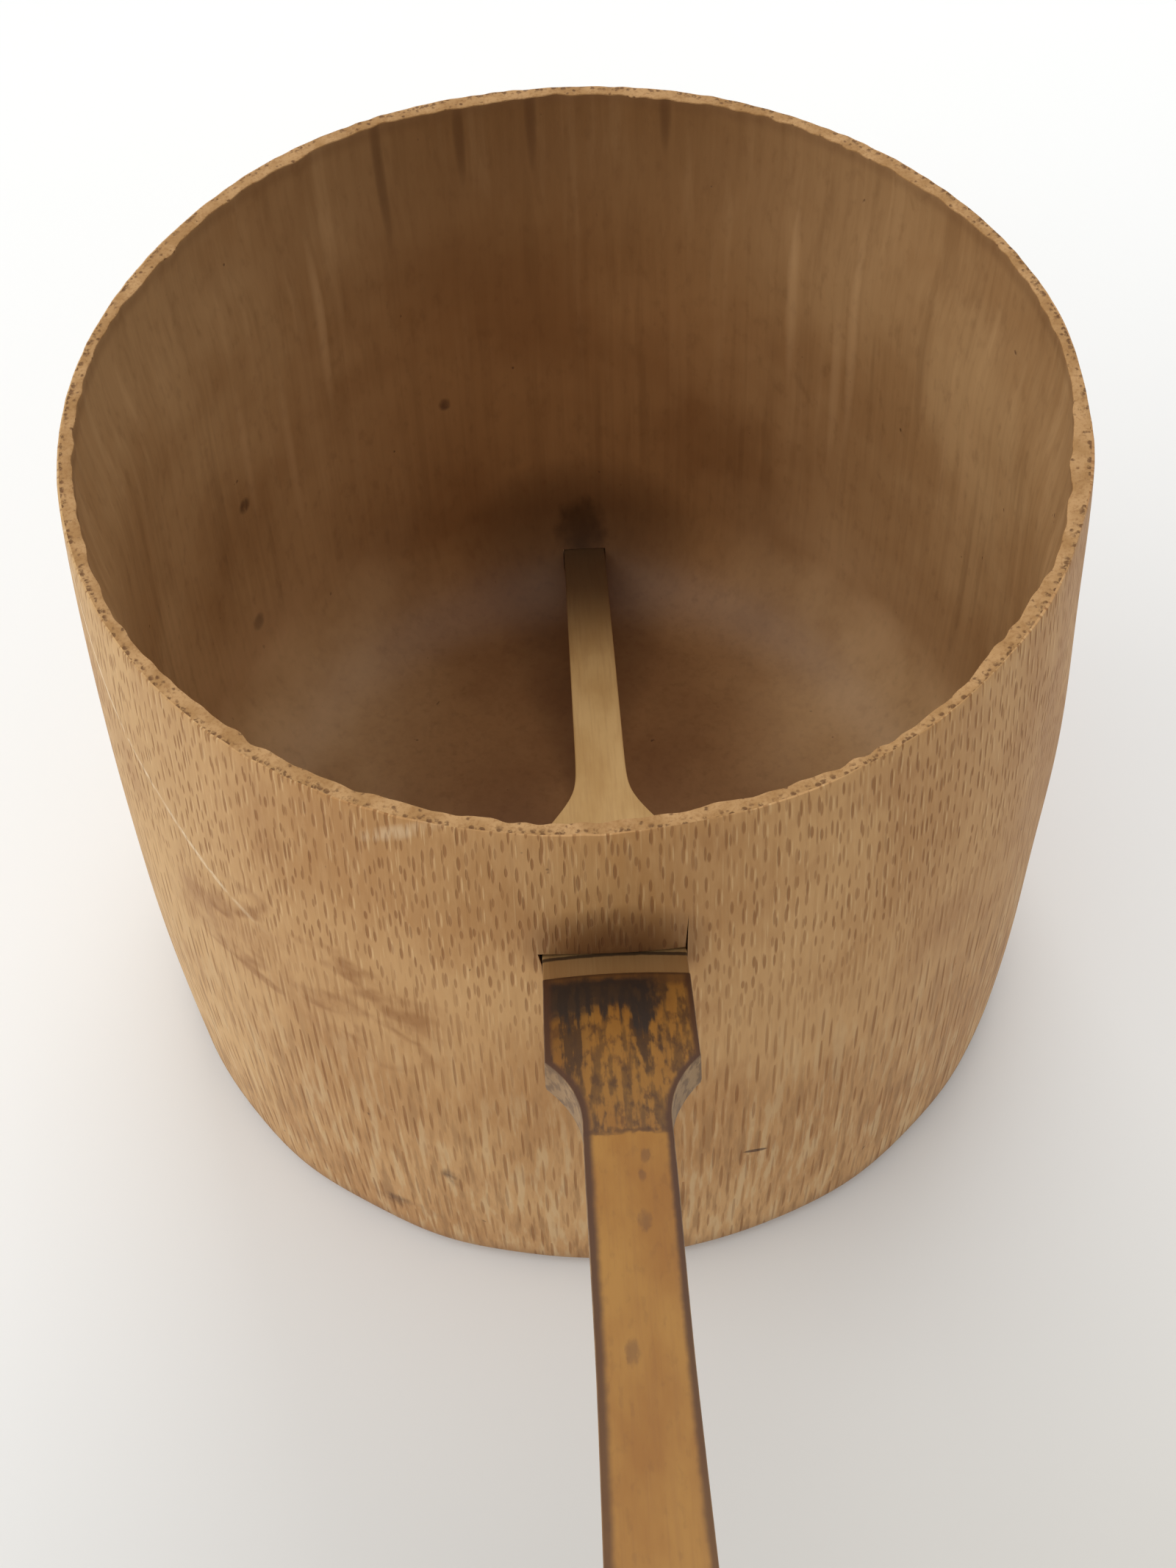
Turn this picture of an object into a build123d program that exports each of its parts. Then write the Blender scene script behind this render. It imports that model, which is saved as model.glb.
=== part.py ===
"""A bamboo ladle: a cup made of one section of culm, and a split-bamboo handle that pierces it.

The cup stands on its foot with its mouth up. The origin is the centre of the surface it stands on, +Z is up,
and the handle leaves the cup towards -Y, rising as it goes. Lengths are in millimetres, angles in degrees.
"""

from build123d import *
import math
import os

# ---- the cup ---------------------------------------------------------------------------------
MOUTH_RADIUS = 30.0  # outside, at the mouth
FOOT_RADIUS = 30.0  # outside, where the rounding of the foot begins
BELLY = 0.9  # how far the side swells beyond the straight line between those two
CUP_HEIGHT = 50.0
CULM_WALL = 2.4  # thickness of the culm below the lip
LIP_WALL = 0.9  # thickness left at the mouth, where the inside is pared away
LIP_DEPTH = 13.0  # how far down from the mouth the paring reaches
LIP_EASE = 30.0  # radius that blends the pared lip into the wall
FLOOR_HEIGHT = 4.6  # top of the floor, which is the culm's own node
FLOOR_CURVE = 7.5  # radius with which the floor turns up into the wall
FOOT_ROUND = 1.5  # rounding of the outer bottom edge
FOOT_RING = 4.0  # width of the flat ring that the cup stands on
UNDERSIDE_DISH = 1.2  # how far the underside of the node lies above that ring

# ---- the handle ------------------------------------------------------------------------------
HANDLE_OFFSET = 0.7  # how far to +X of the cup's middle the handle was set by hand
SLOT_DROP = 9.9  # from the mouth down to the handle's skin line, at the outside of the near wall
TIP_HEIGHT = 7.8  # height of that same line at the inside of the far wall, which sets the slope
GRIP_REACH = 292.0  # length of the handle outside the wall
HEAD_WIDTH = 7.9  # the flat block that fills the slot
HEAD_OUTSIDE = 11.2  # its length outside the wall
HEAD_INSIDE = 15.5  # its length inside, measured from the outside of the wall
SHOULDER_LENGTH = 6.0  # the hollow-cut shoulders from head to neck
NECK_WIDTH = 4.35  # just beyond the shoulders
WAIST_WIDTH = 4.1  # the handle's narrowest place
WAIST_DISTANCE = 38.0  # from the wall to the waist
GRIP_END_WIDTH = 8.8
GRIP_EASE = 600.0  # radius that blends the waist into the widening grip
TONGUE_WIDTH = 3.15  # the strip that crosses the inside of the cup
TONGUE_TAPER = 5.5  # length over which the head narrows to it
TONGUE_EASE = 18.0  # radius at the end of that taper
TONGUE_THICKNESS = 1.5
HEAD_THICKNESS = 2.0  # skin side to underside
GRIP_END_THICKNESS = 2.6
SKIN_SHAVE = 0.4  # depth of skin taken off the handle's inner part
SHAVE_REACH = 2.4  # how far outside the wall the shaving starts
NODE_DISTANCE = 150.0  # the handle's own node, from the wall
NODE_LENGTH = 5.0
NODE_RISE = 0.5
END_BEVEL = 5.0  # the slanting cut on the underside of the grip's end
UNDERSIDE_CHAMFER = 0.5  # the eased lower edges
TIP_INSET = 0.2  # the tongue's tip stops this far short of the outside of the far wall
FIT_CLEARANCE = 0.05  # gap all round the head in its slot and the tip in its mortise


def outside_radius(height):
    """The cup's outer radius at a height: the line from foot to mouth, swollen by the belly."""
    share = (height - FOOT_ROUND) / (CUP_HEIGHT - FOOT_ROUND)
    return FOOT_RADIUS + (MOUTH_RADIUS - FOOT_RADIUS) * share + 4 * BELLY * share * (1 - share)


def inside_radius(height):
    """The inner radius of the unpared culm at a height."""
    return outside_radius(height) - CULM_WALL


# ---- where the handle lies -------------------------------------------------------------------
# Distances along the handle run outwards from the point where its upper face meets the outside of the near wall.
slot_height = CUP_HEIGHT - SLOT_DROP
slot_radius = outside_radius(slot_height)
slope = math.atan((slot_height - TIP_HEIGHT) / (slot_radius + inside_radius(TIP_HEIGHT)))
entry = Vector(HANDLE_OFFSET, -slot_radius, slot_height)
outward = Vector(0, -math.cos(slope), math.sin(slope))
upward = Vector(0, math.sin(slope), math.cos(slope))
plan_plane = Plane(origin=entry, x_dir=(-1, 0, 0), z_dir=upward)  # x across, y outwards
side_plane = Plane(origin=entry, x_dir=outward, z_dir=(-1, 0, 0))  # x outwards, y up
cross_plane = Plane(origin=entry, x_dir=(1, 0, 0), z_dir=outward)  # x across, y up

# the outside of the far wall, where the handle's line comes out of it
far_height = TIP_HEIGHT - CULM_WALL * math.tan(slope)
far_radius = outside_radius(far_height)
far_reach = (slot_radius + far_radius) / math.cos(slope)

half_head = HEAD_WIDTH / 2
half_neck = NECK_WIDTH / 2
half_waist = WAIST_WIDTH / 2
half_tongue = TONGUE_WIDTH / 2
half_end = GRIP_END_WIDTH / 2
neck_start = HEAD_OUTSIDE + SHOULDER_LENGTH
tongue_start = HEAD_INSIDE + TONGUE_TAPER

# ---- cup -------------------------------------------------------------------------------------
ring_outside = FOOT_RADIUS - FOOT_ROUND
ring_inside = ring_outside - FOOT_RING
belly_height = (CUP_HEIGHT + FOOT_ROUND) / 2
lip_start = CUP_HEIGHT - LIP_DEPTH
wall_middle = (FLOOR_HEIGHT + lip_start) / 2
tip_thickness_along_wall = TONGUE_THICKNESS * math.tan(slope)

with BuildPart() as cup:
    # the solid culm: dished underside, ring to stand on, rounded foot, swelling side, mouth cut square
    with BuildSketch(Plane.XZ):
        with BuildLine():
            Polyline(
                (0, UNDERSIDE_DISH),
                (ring_inside - 2 * UNDERSIDE_DISH, UNDERSIDE_DISH),
                (ring_inside, 0),
                (ring_outside, 0),
            )
            CenterArc((ring_outside, FOOT_ROUND), FOOT_ROUND, -90, 90)
            ThreePointArc(
                (FOOT_RADIUS, FOOT_ROUND),
                (outside_radius(belly_height), belly_height),
                (MOUTH_RADIUS, CUP_HEIGHT),
            )
            Polyline((MOUTH_RADIUS, CUP_HEIGHT), (0, CUP_HEIGHT), (0, UNDERSIDE_DISH))
        make_face()
    revolve(axis=Axis.Z)

    # the hollow: flat floor, wall parallel to the outside, lip pared thin
    with BuildSketch(Plane.XZ) as hollow:
        with BuildLine():
            Line((0, FLOOR_HEIGHT), (inside_radius(FLOOR_HEIGHT), FLOOR_HEIGHT))
            ThreePointArc(
                (inside_radius(FLOOR_HEIGHT), FLOOR_HEIGHT),
                (inside_radius(wall_middle), wall_middle),
                (inside_radius(lip_start), lip_start),
            )
            Polyline(
                (inside_radius(lip_start), lip_start),
                (MOUTH_RADIUS - LIP_WALL, CUP_HEIGHT),
                (0, CUP_HEIGHT),
                (0, FLOOR_HEIGHT),
            )
        make_face()
        floor_corner = hollow.vertices().group_by(Axis.Y)[0].sort_by(Axis.X)[-1]
        fillet(floor_corner, radius=FLOOR_CURVE)
        lip_corner = hollow.vertices().sort_by_distance((inside_radius(lip_start), lip_start))[0]
        fillet(lip_corner, radius=LIP_EASE)
    revolve(axis=Axis.Z, mode=Mode.SUBTRACT)

    # the slot in the near wall, as wide and thick as the shaved head
    slot_thickness = HEAD_THICKNESS - SKIN_SHAVE + 2 * FIT_CLEARANCE
    slot_middle = -(HEAD_THICKNESS + SKIN_SHAVE) / 2
    slot_reach = (CULM_WALL + slot_thickness) / math.cos(slope)
    with BuildSketch(cross_plane):
        with Locations((0, slot_middle)):
            Rectangle(HEAD_WIDTH + 2 * FIT_CLEARANCE, slot_thickness)
    extrude(amount=slot_reach, both=True, mode=Mode.SUBTRACT)

    # the mortise in the far wall, as wide and thick as the tongue, and the bed it cuts in the floor's curve
    mortise_thickness = TONGUE_THICKNESS + 2 * FIT_CLEARANCE
    mortise_middle = -SKIN_SHAVE - TONGUE_THICKNESS / 2
    with BuildSketch(cross_plane.offset(-far_reach - slot_reach)):
        with Locations((0, mortise_middle)):
            Rectangle(TONGUE_WIDTH + 2 * FIT_CLEARANCE, mortise_thickness)
    extrude(amount=2 * slot_reach + FLOOR_CURVE, mode=Mode.SUBTRACT)
cup.part.label = "cup"

# ---- handle ----------------------------------------------------------------------------------
tip_reach = -(slot_radius + far_radius - TIP_INSET + SKIN_SHAVE * math.sin(slope)) / math.cos(slope)

with BuildPart() as handle:
    # seen from above: tongue, taper, head, hollow shoulders, neck, widening grip
    with BuildSketch(plan_plane) as plan:
        with BuildLine() as right_half:
            Line((0, tip_reach - HEAD_THICKNESS), (half_tongue, tip_reach - HEAD_THICKNESS))
            FilletPolyline(
                (half_tongue, tip_reach - HEAD_THICKNESS),
                (half_tongue, -tongue_start),
                (half_head, -HEAD_INSIDE),
                radius=TONGUE_EASE,
            )
            Line((half_head, -HEAD_INSIDE), (half_head, HEAD_OUTSIDE))
            TangentArc((half_neck, neck_start), (half_head, HEAD_OUTSIDE), tangent=(0, -1))
            FilletPolyline(
                (half_neck, neck_start),
                (half_waist, WAIST_DISTANCE),
                (half_end, GRIP_REACH),
                radius=GRIP_EASE,
            )
            Line((half_end, GRIP_REACH), (0, GRIP_REACH))
            mirror(about=Plane.YZ)
        make_face()
    extrude(amount=2 * GRIP_END_THICKNESS, both=True)

    # seen from the side: shaved inner part, skin with its node, slanting end, underside
    with BuildSketch(side_plane):
        with BuildLine():
            Polyline(
                (tip_reach, -SKIN_SHAVE),
                (SHAVE_REACH, -SKIN_SHAVE),
                (SHAVE_REACH, 0),
                (NODE_DISTANCE - NODE_LENGTH / 2, 0),
            )
            ThreePointArc(
                (NODE_DISTANCE - NODE_LENGTH / 2, 0),
                (NODE_DISTANCE, NODE_RISE),
                (NODE_DISTANCE + NODE_LENGTH / 2, 0),
            )
            Polyline(
                (NODE_DISTANCE + NODE_LENGTH / 2, 0),
                (GRIP_REACH, 0),
                (GRIP_REACH - END_BEVEL, -GRIP_END_THICKNESS),
                (WAIST_DISTANCE, -HEAD_THICKNESS),
                (-HEAD_INSIDE, -HEAD_THICKNESS),
                (-tongue_start, -SKIN_SHAVE - TONGUE_THICKNESS),
                (tip_reach - tip_thickness_along_wall, -SKIN_SHAVE - TONGUE_THICKNESS),
                (tip_reach, -SKIN_SHAVE),
            )
        make_face()
    extrude(amount=GRIP_END_WIDTH, both=True, mode=Mode.INTERSECT)

    # the eased lower edges, from the shoulders out to the slanting end
    underside = handle.faces().filter_by(lambda face: face.normal_at().dot(upward) < -0.99)
    grip_underside = underside.sort_by_distance(entry + outward * GRIP_REACH)[0]
    long_edges = grip_underside.edges().filter_by(lambda edge: edge.length > NODE_DISTANCE / 3)
    chamfer(long_edges, UNDERSIDE_CHAMFER)

handle.part.label = "handle"

# ---- write one file for each piece -----------------------------------------------------------
os.makedirs("parts", exist_ok=True)
export_step(cup.part, "parts/cup.step")
export_step(handle.part, "parts/handle.step")
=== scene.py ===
# %% [markdown]
# # A bamboo water ladle
# The ladle is two pieces of bamboo. The cup is a short length of culm whose own node is its floor. The
# handle is a strip split from a thicker culm, which goes in through a slot near the mouth, crosses the cup
# and ends in the far wall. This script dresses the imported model: it keeps its sizes and places, and gives
# each piece its real surface.

# %% The frame
import math

import bpy
import numpy as np
from mathutils import Matrix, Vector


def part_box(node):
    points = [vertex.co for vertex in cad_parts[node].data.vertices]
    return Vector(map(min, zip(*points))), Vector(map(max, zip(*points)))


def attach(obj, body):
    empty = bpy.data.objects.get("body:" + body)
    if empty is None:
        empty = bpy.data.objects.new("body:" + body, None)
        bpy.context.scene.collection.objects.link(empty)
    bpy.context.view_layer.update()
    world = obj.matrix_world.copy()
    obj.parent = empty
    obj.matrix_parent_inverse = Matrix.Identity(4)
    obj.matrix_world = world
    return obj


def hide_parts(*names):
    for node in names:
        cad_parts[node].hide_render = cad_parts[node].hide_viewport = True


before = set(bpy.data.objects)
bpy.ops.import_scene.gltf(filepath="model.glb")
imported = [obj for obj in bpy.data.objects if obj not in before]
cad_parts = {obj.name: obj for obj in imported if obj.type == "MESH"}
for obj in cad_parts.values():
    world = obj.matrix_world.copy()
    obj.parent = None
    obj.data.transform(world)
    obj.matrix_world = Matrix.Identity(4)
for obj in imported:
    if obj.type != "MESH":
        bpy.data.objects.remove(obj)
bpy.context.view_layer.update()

# %% [markdown]
# ## Sizes
# Everything below is worked out in millimetres, because a ladle maker would, and turned into metres at the
# very end. The overall sizes come from the frame's boxes. The few others are the widths and depths of the
# cuts that a box can't tell.

# %% Sizes of the cup, in millimetres
MM = 0.001
BELLY = 0.9            # swell of the side beyond a straight line
CULM_WALL = 2.4        # wall below the lip
LIP_WALL = 0.9         # wall left at the mouth
LIP_DEPTH = 13.0       # depth over which the lip is pared
FLOOR_HEIGHT = 4.6
FLOOR_CURVE = 7.5
FOOT_ROUND = 1.5
FOOT_RING = 4.0
UNDERSIDE_DISH = 1.2

cup_low, cup_high = (np.array(corner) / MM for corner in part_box("cup"))
CUP_HEIGHT = cup_high[2] - cup_low[2]
MOUTH_RADIUS = (cup_high[0] - cup_low[0]) / 2 - BELLY
print(f"cup: mouth radius {MOUTH_RADIUS:.2f} mm, height {CUP_HEIGHT:.2f} mm")


def outside_radius(height):
    """Mouth radius plus the belly, a parabola that is zero at the foot's rounding and at the mouth."""
    share = (height - FOOT_ROUND) / (CUP_HEIGHT - FOOT_ROUND)
    return MOUTH_RADIUS + 4 * BELLY * share * (1 - share)


# %% Sizes of the handle, in millimetres
SLOT_DROP = 9.9        # mouth to skin line, at the outside of the near wall
HEAD_WIDTH = 7.9
HEAD_OUTSIDE = 11.2
HEAD_INSIDE = 15.5
SHOULDER_LENGTH = 6.0
NECK_WIDTH = 4.35
WAIST_WIDTH = 4.1
WAIST_DISTANCE = 38.0
GRIP_END_WIDTH = 8.8
TONGUE_WIDTH = 3.15
TONGUE_TAPER = 5.5
TONGUE_THICKNESS = 1.5
HEAD_THICKNESS = 2.0
GRIP_END_THICKNESS = 2.6
SKIN_SHAVE = 0.4
SHAVE_REACH = 2.4
NODE_DISTANCE = 150.0
NODE_RISE = 0.5
END_BEVEL = 5.0
FIT_CLEARANCE = 0.05

handle_low, handle_high = (np.array(corner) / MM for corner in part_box("handle"))
slot_height = CUP_HEIGHT - SLOT_DROP
slot_radius = outside_radius(slot_height)
slope = math.atan2(handle_high[2] - slot_height, -handle_low[1] - slot_radius)
grip_reach = (-handle_low[1] - slot_radius) / math.cos(slope)
tip_reach = -(slot_radius + handle_high[1] + SKIN_SHAVE * math.sin(slope)) / math.cos(slope)
entry = np.array([(handle_low[0] + handle_high[0]) / 2, -slot_radius, slot_height])
across = np.array([1.0, 0.0, 0.0])
outward = np.array([0.0, -math.cos(slope), math.sin(slope)])
upward = np.array([0.0, math.sin(slope), math.cos(slope)])
print(f"handle: slope {math.degrees(slope):.2f} degrees, from {tip_reach:.1f} to {grip_reach:.1f} mm")

# %% [markdown]
# ## The camera
# A hand-held camera looks down into the cup from above the handle, close enough for strong perspective. The
# lens is a little longer than normal. The near clipping distance is a millimetre, because the whole cup is
# a hand's width away.

# %% Camera
EYE = np.array([-1.27, -104.81, 156.18])    # millimetres from the centre of the cup's foot
LOOK_TURN = math.radians(0.68)              # towards +X from straight along +Y
LOOK_DOWN = math.radians(53.66)
LOOK_TILT = math.radians(-2.22)             # roll of the picture
LENS = 58.2                                 # for a picture 36 mm high


def camera_axes(turn, down, tilt):
    """Right, up and forward of a camera that turns about Z, looks down, then rolls about its view line."""
    forward = np.array([math.sin(turn) * math.cos(down), math.cos(turn) * math.cos(down), -math.sin(down)])
    right = np.array([math.cos(turn), -math.sin(turn), 0.0])
    up = np.cross(right, forward)
    rolled_right = math.cos(tilt) * right + math.sin(tilt) * up
    rolled_up = math.cos(tilt) * up - math.sin(tilt) * right
    return rolled_right, rolled_up, forward


right, up, forward = camera_axes(LOOK_TURN, LOOK_DOWN, LOOK_TILT)
camera_data = bpy.data.cameras.new("camera")
camera_data.sensor_fit = "VERTICAL"
camera_data.sensor_height = 36
camera_data.lens = LENS
camera_data.clip_start = 1 * MM
camera = bpy.data.objects.new("camera", camera_data)
bpy.context.scene.collection.objects.link(camera)
pose = np.eye(4)
pose[:3, :3] = np.stack([right, up, -forward], axis=1)
pose[:3, 3] = EYE * MM
camera.matrix_world = Matrix(pose.tolist())
bpy.context.scene.camera = camera
print("camera", [round(float(value), 1) for value in EYE], "mm, lens", LENS)

# %% [markdown]
# ## Surfaces from grids
# Bamboo is all lengthwise fibre around a round culm, so both pieces are skins wrapped round a line: rows of
# rings, each ring closed on itself. The grid is worked out whole with numpy, and one function turns it into
# a mesh. Small unevenness comes from sums of waves, because a wave with a whole number of turns meets
# itself without a seam.

# %% Grids into meshes
FULL_TURN = 2 * math.pi


def ripple(angle, fewest, most, seed):
    """Waves of every whole number of turns from fewest to most, weaker when finer, scaled to about 1."""
    random = np.random.default_rng(seed)
    turns = np.arange(fewest, most + 1)
    strength = turns ** -0.6
    phase = random.uniform(0, FULL_TURN, len(turns))
    waves = np.cos(angle[..., None] * turns + phase) @ strength
    return waves / math.sqrt(0.5 * np.sum(strength ** 2))


def bumpy(angle, height, seed, count=24, wavelength=9.0):
    """Gentle lumps on a round wall: random waves, each with a whole number of turns round it."""
    random = np.random.default_rng(seed)
    turns = random.integers(1, int(FULL_TURN * MOUTH_RADIUS / wavelength), count)
    rise = random.uniform(-1, 1, count) * FULL_TURN / (3 * wavelength)
    phase = random.uniform(0, FULL_TURN, count)
    waves = np.cos(angle[..., None] * turns + height[..., None] * rise + phase)
    return waves.sum(-1) / math.sqrt(count / 2)


def closed_skin(name, rings):
    """Quads between the rings of a (rings, points, 3) grid in millimetres, and a fan over each end ring."""
    ring_count, point_count, _ = rings.shape
    index = np.arange(ring_count * point_count).reshape(ring_count, point_count)
    after = np.roll(index, -1, axis=1)
    quads = np.stack([index[:-1], after[:-1], after[1:], index[1:]], axis=-1).reshape(-1, 4)
    first_pole = index.size
    first_fan = np.stack([after[0], index[0], np.full(point_count, first_pole)], axis=-1)
    last_fan = np.stack([index[-1], after[-1], np.full(point_count, first_pole + 1)], axis=-1)
    poles = rings[[0, -1]].mean(axis=1)
    points = np.concatenate([rings.reshape(-1, 3), poles]) * MM
    mesh = bpy.data.meshes.new(name)
    mesh.from_pydata(points.tolist(), [], quads.tolist() + first_fan.tolist() + last_fan.tolist())
    mesh.update()
    if signed_volume(mesh) < 0:
        mesh.flip_normals()
    return mesh


def signed_volume(mesh):
    """A sixth of the sum of corner determinants of every triangle: positive when the faces point outwards."""
    mesh.calc_loop_triangles()
    corners = np.empty(len(mesh.loop_triangles) * 3, np.int32)
    mesh.loop_triangles.foreach_get("vertices", corners)
    points = np.empty(len(mesh.vertices) * 3)
    mesh.vertices.foreach_get("co", points)
    a, b, c = points.reshape(-1, 3)[corners.reshape(-1, 3)].transpose(1, 0, 2)
    return float(np.einsum("ij,ij->i", a, np.cross(b, c)).sum() / 6)


def report(what, mesh):
    """Prints how many faces a mesh has and what volume it closes."""
    print(what, len(mesh.polygons), "faces, volume", round(signed_volume(mesh) / MM ** 3), "cubic mm")


def place(name, mesh):
    """Puts a mesh in the scene as an object at the origin."""
    piece = bpy.data.objects.new(name, mesh)
    bpy.context.scene.collection.objects.link(piece)
    return piece


# %% [markdown]
# ## The cup's outline
# A turner would call this a profile: a line from the middle of the underside, round the foot, up the
# outside, over the mouth, down the inside and across the floor. Carried round the culm's axis it is the
# whole cup. Each point of it also says which surface it belongs to, so that the scraped outside, the cut
# mouth and the dark inside can have finishes of their own.

# %% The profile, as radius and height in millimetres
MOUTH_EDGE = 0.1       # rounding of the two edges of the mouth
UNDERSIDE, OUTSIDE, MOUTH, INSIDE, CUT = range(5)


def arc(centre_radius, centre_height, size, start, end, count):
    """Points of a circle between two angles in degrees."""
    angle = np.radians(np.linspace(start, end, count))
    return np.stack([centre_radius + size * np.cos(angle), centre_height + size * np.sin(angle)], axis=1)


def wall_thickness(height):
    """The pared lip at the mouth, easing into the full wall with half a cosine wave."""
    share = np.clip((CUP_HEIGHT - height) / LIP_DEPTH, 0, 1)
    return LIP_WALL + (CULM_WALL - LIP_WALL) * (1 - np.cos(math.pi * share)) / 2


def line(start, end, count):
    """Evenly spaced points, without the last one, so that the next stretch can start there."""
    return np.linspace(start, end, count + 1)[:-1]


ring_outside = MOUTH_RADIUS - FOOT_ROUND
ring_inside = ring_outside - FOOT_RING
curve_height = FLOOR_HEIGHT + FLOOR_CURVE
curve_radius = outside_radius(curve_height) - CULM_WALL - FLOOR_CURVE
outer_heights = line(FOOT_ROUND, CUP_HEIGHT - MOUTH_EDGE, 46)
inner_heights = line(CUP_HEIGHT - MOUTH_EDGE, curve_height, 40)
inner_radii = outside_radius(inner_heights) - wall_thickness(inner_heights)
inner_mouth = MOUTH_RADIUS - LIP_WALL
stretches = [
    (UNDERSIDE, line((0.5, UNDERSIDE_DISH), (ring_inside - 2 * UNDERSIDE_DISH, UNDERSIDE_DISH), 8)),
    (UNDERSIDE, line((ring_inside - 2 * UNDERSIDE_DISH, UNDERSIDE_DISH), (ring_inside, 0), 3)),
    (CUT, line((ring_inside, 0), (ring_outside, 0), 3)),
    (OUTSIDE, arc(ring_outside, FOOT_ROUND, FOOT_ROUND, -90, 0, 6)[:-1]),
    (OUTSIDE, np.stack([outside_radius(outer_heights), outer_heights], axis=1)),
    (OUTSIDE, arc(MOUTH_RADIUS - MOUTH_EDGE, CUP_HEIGHT - MOUTH_EDGE, MOUTH_EDGE, 0, 90, 3)[:-1]),
    (MOUTH, line((MOUTH_RADIUS - MOUTH_EDGE, CUP_HEIGHT), (inner_mouth + MOUTH_EDGE, CUP_HEIGHT), 4)),
    (MOUTH, arc(inner_mouth + MOUTH_EDGE, CUP_HEIGHT - MOUTH_EDGE, MOUTH_EDGE, 90, 180, 3)[:-1]),
    (INSIDE, np.stack([inner_radii, inner_heights], axis=1)),
    (INSIDE, arc(curve_radius, curve_height, FLOOR_CURVE, 0, -90, 14)[:-1]),
    (INSIDE, line((curve_radius, FLOOR_HEIGHT), (0.5, FLOOR_HEIGHT), 8)),
]
profile = np.concatenate([points for _, points in stretches])
profile_kind = np.concatenate([np.full(len(points), kind) for kind, points in stretches])
print("profile of", len(profile), "points")

# %% [markdown]
# ## Carrying the profile round
# A culm is never quite true. The outside was scraped by hand, which leaves shallow lumps a few hundredths
# of a millimetre high. The mouth was sawn and the lip pared with a knife, so the rim's height and above all
# its width wander. These small departures are added as the profile goes round, and fade out away from where
# they belong.

# %% The cup's skin
CUP_COLUMNS = 600
SCRAPE_DEPTH = 0.05    # height of the lumps left on the scraped outside
RIM_WANDER = 0.10      # the rim's height
RIM_NICKS = 0.02
LIP_WANDER = 0.13      # the rim's width
LIP_NICKS = 0.05
LIP_FADE = 9.0         # height over which the lip's unevenness dies out

turn = np.linspace(0, FULL_TURN, CUP_COLUMNS, endpoint=False)
angle = np.broadcast_to(turn, (len(profile), CUP_COLUMNS))
radius = np.repeat(profile[:, :1], CUP_COLUMNS, axis=1)
height = np.repeat(profile[:, 1:], CUP_COLUMNS, axis=1)
is_inner = np.isin(profile_kind, (INSIDE, MOUTH))[:, None]
near_mouth = np.clip(1 - (CUP_HEIGHT - height) / LIP_FADE, 0, 1) ** 2
inner_share = np.clip((MOUTH_RADIUS - radius) / LIP_WALL, 0, 1)

lip = LIP_WANDER * ripple(turn, 3, 16, seed=5) + LIP_NICKS * ripple(turn, 30, 140, seed=6)
rim = RIM_WANDER * ripple(turn, 2, 7, seed=7) + RIM_NICKS * ripple(turn, 40, 160, seed=8)
scrape = SCRAPE_DEPTH * bumpy(angle, height, seed=9) * (radius > ring_outside)
radius = radius + np.where(is_inner, lip * inner_share * near_mouth, scrape * (1 - near_mouth * 0.5))
height = height + rim * near_mouth * (height > CUP_HEIGHT / 2)
cup_rings = np.stack([radius * np.sin(angle), -radius * np.cos(angle), height], axis=-1)
cup_mesh = closed_skin("cup_skin", cup_rings)
cup = place("cup_skin", cup_mesh)
report("cup skin", cup_mesh)

# %% [markdown]
# ## Cutting the slot and the mortise
# The slot is chiselled through the wall along the handle's slope, and so is the small mortise opposite.
# Two straight prisms do the same here with Boolean modifiers, which give crisp edges on a fine grid. The slot
# is a little loose at one upper corner, and a hairline crack runs up from the other, as happens when a wedge
# is driven into bamboo.

# %% Prisms and cuts
GAP_WIDTH = 0.20       # the open corner of the slot
GAP_DEPTH = 1.0
CRACK_WIDTH = 0.13
CRACK_LENGTH = 2.6
OVERCUT = 4.0          # how far a cutter runs on beyond the wall
SLOT_CUT = 8.0         # how far the cutters reach inwards from the outside of the wall
CRACK_CUT = 6.0


def along_handle(side, reach, lift):
    """A point given across the handle, out along it and up from its skin line, as a place in millimetres."""
    side, reach, lift = np.broadcast_arrays(side, reach, lift)
    return entry + side[..., None] * across + reach[..., None] * outward + lift[..., None] * upward


def prism(name, outline, start, end):
    """A straight bar along the handle's line with the given outline of (side, lift) corners."""
    outline = np.array(outline)
    reach = np.linspace(start, end, 4)[:, None]
    return place(name, closed_skin(name, along_handle(outline[None, :, 0], reach, outline[None, :, 1])))


def cut(piece, cutter):
    """Subtracts the cutter for good, and removes it."""
    modifier = piece.modifiers.new("cut", "BOOLEAN")
    modifier.operation = "DIFFERENCE"
    modifier.solver = "EXACT"
    modifier.object = cutter
    before = piece.data
    graph = bpy.context.evaluated_depsgraph_get()
    after = bpy.data.meshes.new_from_object(piece.evaluated_get(graph))
    piece.modifiers.clear()
    piece.data = after
    after.name = before.name
    bpy.data.meshes.remove(before)
    bpy.data.objects.remove(cutter)


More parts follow.
